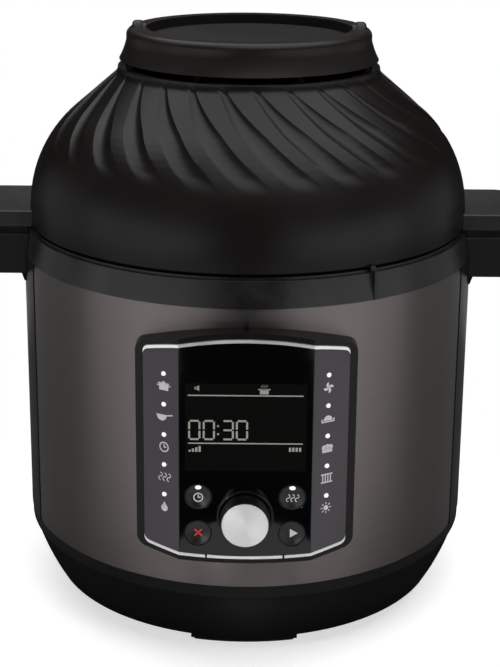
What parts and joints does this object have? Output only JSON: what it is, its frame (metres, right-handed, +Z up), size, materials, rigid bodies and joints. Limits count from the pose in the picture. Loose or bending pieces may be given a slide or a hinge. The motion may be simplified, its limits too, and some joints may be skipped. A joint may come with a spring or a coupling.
{
  "type": "electric pressure cooker",
  "caption": "Tall round electric pressure cooker with a spiral-fluted air-frying dome lid, side handles, a lift-out pot and an arched control panel with a push dial.",
  "frame": {"origin": "on the worktop under the middle of the body", "axes": "+Z up, the control panel faces -Y, +X to the right as seen from the front"},
  "size_m": [0.368, 0.35, 0.388],
  "materials": {
    "base_black": "satin moulded black",
    "rubber": "matt",
    "steel": "bright drawn and pressed steel",
    "black_steel": "dark tinted steel with fine horizontal brushing",
    "rim_grey": "fine-grained dark grey",
    "lid_black": "satin-matt black",
    "aluminium": "spun face",
    "bezel_brown": "satin brown-black",
    "window_black": "gloss black",
    "wing_grey": "satin grey with printed marks",
    "chrome": "bright",
    "lens": "milky, lit from behind",
    "board_green": "lacquered circuit board",
    "component_grey": "moulded",
    "brass": "plain",
    "cup_clear": "frosted, lightly tinted"
  },
  "bodies": {
    "cooker": {"base_ring": "base_black", "rubber_feet": "rubber", "bottom_plate": "base_black", "base_screws": "steel", "front_steel_panel": "black_steel", "rear_steel_panel": "black_steel", "side_pillars": "base_black", "rim_band": "rim_grey", "handle_right": "rim_grey", "handle_left": "rim_grey", "lid_socket": "base_black", "well_liner": "steel", "heater_plate": "aluminium", "sensor_housing": "steel", "sensor_spring": "steel", "power_board": "board_green", "board_components": "component_grey", "power_inlet": "base_black", "inlet_pins": "brass", "panel_bezel": "bezel_brown", "display_window": "window_black", "wing_right": "wing_grey", "wing_left": "wing_grey", "chrome_trim": "chrome", "indicator_lenses": "lens", "lcd_module": "window_black", "control_board": "board_green", "key_switches": "component_grey", "encoder_body": "component_grey", "dial_ring": "window_black", "cup_bracket": "base_black"},
    "lid": {"lid_dome": "lid_black", "lid_handle_right": "rim_grey", "lid_handle_left": "rim_grey", "lid_plug": "lid_black", "lid_collar": "lid_black", "lid_top_disc": "lid_black", "bail_pins": "steel", "reflector_pan": "steel", "lid_screws": "steel", "heater_guard": "steel", "heater_coil": "steel", "coil_arms": "steel", "fan_motor": "steel", "motor_bracket": "steel"},
    "bail": {"bail_handle": "lid_black"},
    "fan_rotor": {"motor_spindle": "steel", "hot_air_fan": "steel", "cooling_fan": "steel"},
    "pot": {"inner_pot": "steel"},
    "dial_slider": {"encoder_slider": "component_grey"},
    "dial": {"dial_shaft": "component_grey", "dial_knob": "window_black", "dial_cap": "aluminium"},
    "delay_button": {"delay_key": "window_black"},
    "warm_button": {"warm_key": "window_black"},
    "cancel_button": {"cancel_key": "window_black"},
    "start_button": {"start_key": "window_black"},
    "sensor": {"sensor_button": "aluminium"},
    "drip_cup": {"condensation_cup": "cup_clear"}
  },
  "joints": [
    {"name": "lid_lift", "type": "slide", "parent": "cooker", "child": "lid", "axis": [0, 0, 1], "range_m": [0, 0.4]},
    {"name": "pot_lift", "type": "slide", "parent": "cooker", "child": "pot", "axis": [0, 0, 1], "range_m": [0, 0.2]},
    {"name": "bail_fold", "type": "hinge", "parent": "lid", "child": "bail", "pos_m": [0, 0, 0.3804], "axis": [1, 0, 0], "range_deg": [0, 90]},
    {"name": "fan_spin", "type": "hinge", "parent": "lid", "child": "fan_rotor", "pos_m": [0, 0, 0.32], "axis": [0, 0, 1], "continuous": true},
    {"name": "dial_press", "type": "slide", "parent": "cooker", "child": "dial_slider", "axis": [0, 1, 0], "range_m": [0, 0.001], "stiffness_N_per_m": 600},
    {"name": "dial_turn", "type": "hinge", "parent": "dial_slider", "child": "dial", "pos_m": [0, -0.165, 0.1084], "axis": [0, 1, 0], "continuous": true},
    {"name": "delay_press", "type": "slide", "parent": "cooker", "child": "delay_button", "axis": [0, 1, 0], "range_m": [0, 0.0008], "stiffness_N_per_m": 500},
    {"name": "warm_press", "type": "slide", "parent": "cooker", "child": "warm_button", "axis": [0, 1, 0], "range_m": [0, 0.0008], "stiffness_N_per_m": 500},
    {"name": "cancel_press", "type": "slide", "parent": "cooker", "child": "cancel_button", "axis": [0, 1, 0], "range_m": [0, 0.0008], "stiffness_N_per_m": 500},
    {"name": "start_press", "type": "slide", "parent": "cooker", "child": "start_button", "axis": [0, 1, 0], "range_m": [0, 0.0008], "stiffness_N_per_m": 500},
    {"name": "sensor_press", "type": "slide", "parent": "cooker", "child": "sensor", "axis": [0, 0, 1], "range_m": [-0.002, 0], "stiffness_N_per_m": 1500, "springref_m": 0.0004, "deforming": ["sensor_spring"]},
    {"name": "cup_slide", "type": "slide", "parent": "cooker", "child": "drip_cup", "axis": [0, 1, 0], "range_m": [0, 0.03]}
  ],
  "couplings": [
    {"joint": "pot_lift", "follows": "lid_lift", "ratio": 0.5}
  ]
}
